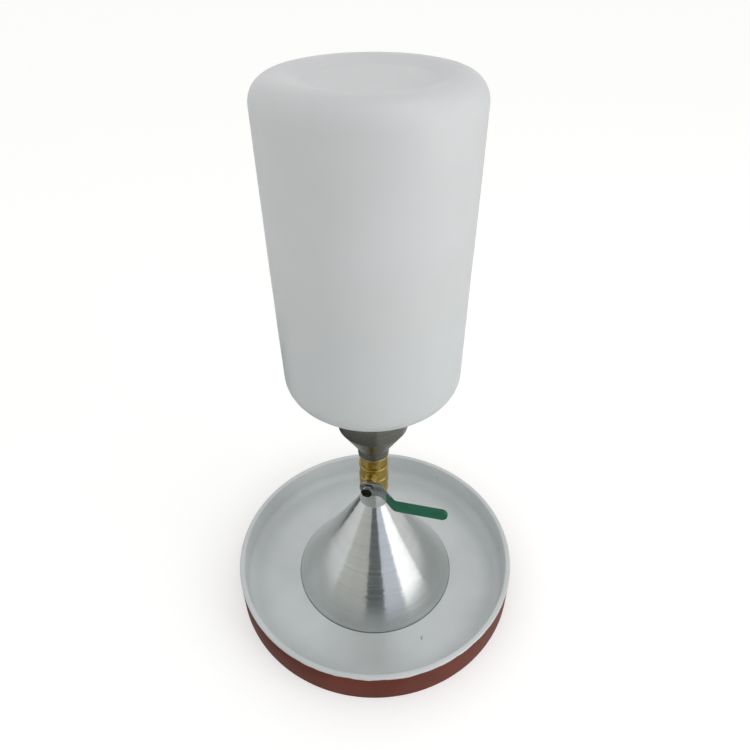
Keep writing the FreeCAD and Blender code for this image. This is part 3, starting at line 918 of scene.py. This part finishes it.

# %% [markdown]
# ### Plated steel and vinyl
#
# Zinc plating is grey with a cool sheen and faint clouds. The nut's outer end is painted dark as painted
# shade, for the shadow it lies in and the dark floor it mirrors, and the dark stops in a short blur along
# the stem. The spring washer behind it is painted darker too, as the shade between nut and lever. The sleeve
# on
# the lever was dipped into liquid vinyl: it is smooth, with a soft gloss.

# %% Finish of lever, fasteners and sleeve
def plated_finish(name, colour, roughness):
    """Zinc plating; its clouds show in the colour and in the gloss."""
    material, tree, shader = principled(name, Metallic=1.0)
    clouds = grain(tree, 260, 3, 0.6)
    deep = tuple(value * 0.85 for value in colour)
    tree.links.new(tones(tree, clouds, (0.3, deep), (0.7, colour)), shader.inputs["Base Color"])
    rough = varied(tree, clouds, roughness - 0.05, roughness + 0.07)
    tree.links.new(rough, shader.inputs["Roughness"])
    tree.links.new(relief(tree, grain(tree, 1500, 2), 0.008 * mm, 0.6), shader.inputs["Normal"])
    return material


dress(lever, plated_finish("zinc_lever_finish", (0.36, 0.39, 0.385), 0.3))
# Painted shade: the washer's plating is coloured darker for the shade in the gap between nut and lever.
dress(washer, plated_finish("painted_shade_washer_finish", (0.2, 0.2, 0.19), 0.3))

# Painted shade: the nut's outer end is coloured near black for the shadow there and the dark floor it
# mirrors.
nut_end_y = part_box("handle_nut")[0].y
end_shade_from = nut_end_y + 0.35 * mm
end_shade_to = nut_end_y + 0.8 * mm
nut_finish, tree, shader = principled("zinc_nut_finish", Metallic=1.0)
along_stem = node(tree, "SeparateXYZ", {0: place_in_piece(tree)}).outputs["Y"]
painted_shade_end = stretched(tree, along_stem, end_shade_from, end_shade_to, 1, 0)
clean = tones(tree, grain(tree, 260, 3, 0.6), (0.3, (0.66, 0.67, 0.64)), (0.7, (0.78, 0.79, 0.76)))
tree.links.new(mixed(tree, painted_shade_end, clean, (0.02, 0.02, 0.018, 1)), shader.inputs["Base Color"])
tree.links.new(stretched(tree, painted_shade_end, 0, 1, 0.2, 0.5), shader.inputs["Roughness"])
tree.links.new(relief(tree, grain(tree, 900, 2), 0.01 * mm, 0.6), shader.inputs["Normal"])
dress(nut, nut_finish)

sleeve_finish, tree, shader = principled("green_vinyl_finish", Specular_IOR_Level=0.16)
vinyl = tones(tree, grain(tree, 90, 2), (0.3, (0.014, 0.1, 0.056)), (0.7, (0.02, 0.125, 0.07)))
tree.links.new(vinyl, shader.inputs["Base Color"])
tree.links.new(varied(tree, grain(tree, 200, 2), 0.42, 0.54), shader.inputs["Roughness"])
tree.links.new(relief(tree, grain(tree, 500, 2), 0.02 * mm, 0.4), shader.inputs["Normal"])
dress(sleeve, sleeve_finish)

# %% [markdown]
# ### Polyethylene
#
# The jar is milky. Light goes into the wall, wanders about and comes out somewhere else, so no part of it is
# ever quite dark and its edges glow. Subsurface scattering is made for that. The surface itself is waxy: a
# broad, weak gloss over very fine unevenness. Towards the neck the milk is painted a little darker and
# cooler:
# that is painted shade and a painted reflection of the floor below. The seam that the mould halves leave is
# only a few hundredths of a millimetre high, so it is bump too, not mesh.

# %% Finish of the jar
jar_finish, tree, shader = principled("milky_jar_finish", Subsurface_Weight=0.6, Subsurface_Scale=4 * mm,
                                      Subsurface_Radius=(1.0, 1.0, 0.95), Specular_IOR_Level=0.4, IOR=1.5)
milk = tones(tree, grain(tree, 11, 2), (0.3, (0.562, 0.567, 0.575)), (0.7, (0.6, 0.604, 0.612)))
# Painted shade and painted reflection: the lower jar is coloured darker and cooler for the floor below it.
painted_shade_milk = tones(tree, grain(tree, 14, 2), (0.3, (0.52, 0.557, 0.555)), (0.7, (0.55, 0.58, 0.578)))
height = radius_and_height(tree)[1]
uneven_height = maths(tree, "ADD", height, maths(tree, "MULTIPLY", grain(tree, 9, 2), 0.12))
higher = stretched(tree, uneven_height, 0.33, 0.5, 0, 1)
tree.links.new(mixed(tree, higher, painted_shade_milk, milk), shader.inputs["Base Color"])
tree.links.new(varied(tree, grain(tree, 35, 3), 0.38, 0.48), shader.inputs["Roughness"])
across = maths(tree, "ABSOLUTE", node(tree, "SeparateXYZ", {0: place_in_piece(tree)}).outputs["Y"])
seam = stretched(tree, across, 0.2 * mm, 0.9 * mm, 1, 0)
skin = relief(tree, grain(tree, 420, 3), 0.03 * mm, 0.5)
seamed = node(tree, "Bump", {"Height": seam, "Distance": 0.06 * mm, "Strength": 0.6, "Normal": skin})
tree.links.new(seamed.outputs[0], shader.inputs["Normal"])
dress(jar, jar_finish)

# %% [markdown]
# ### What is inside
#
# The ball, its seats and the seals can't be seen while the tester stands together, but the jar lifts off and
# the valve opens. They keep the shape of the engineering model and get finishes of their own.

# %% Finish of the inner pieces
ball_finish, tree, shader = principled("ball_chrome_finish", Metallic=1.0, Base_Color=(0.6, 0.61, 0.62, 1))
tree.links.new(varied(tree, grain(tree, 400, 3), 0.05, 0.14), shader.inputs["Roughness"])

seat_finish, tree, shader = principled("white_seat_finish", Base_Color=(0.82, 0.82, 0.79, 1),
                                       Subsurface_Weight=0.2, Subsurface_Scale=1 * mm,
                                       Specular_IOR_Level=0.4)
tree.links.new(varied(tree, grain(tree, 500, 2), 0.35, 0.5), shader.inputs["Roughness"])

rubber_finish, tree, shader = principled("black_rubber_finish", Base_Color=(0.012, 0.012, 0.012, 1),
                                         Specular_IOR_Level=0.35)
tree.links.new(varied(tree, grain(tree, 300, 3), 0.5, 0.7), shader.inputs["Roughness"])
tree.links.new(relief(tree, grain(tree, 1800, 2), 0.02 * mm, 0.5), shader.inputs["Normal"])

inner_finishes = {
    "valve_ball": ball_finish,
    "lower_seat": seat_finish,
    "upper_seat": seat_finish,
    "stem_thrust_washer": seat_finish,
    "stem_packing": seat_finish,
    "end_cap_seal": rubber_finish,
    "jar_gasket": rubber_finish,
}
for name, material in inner_finishes.items():
    dress(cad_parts[name], material)
print("inner pieces dressed:", len(inner_finishes))
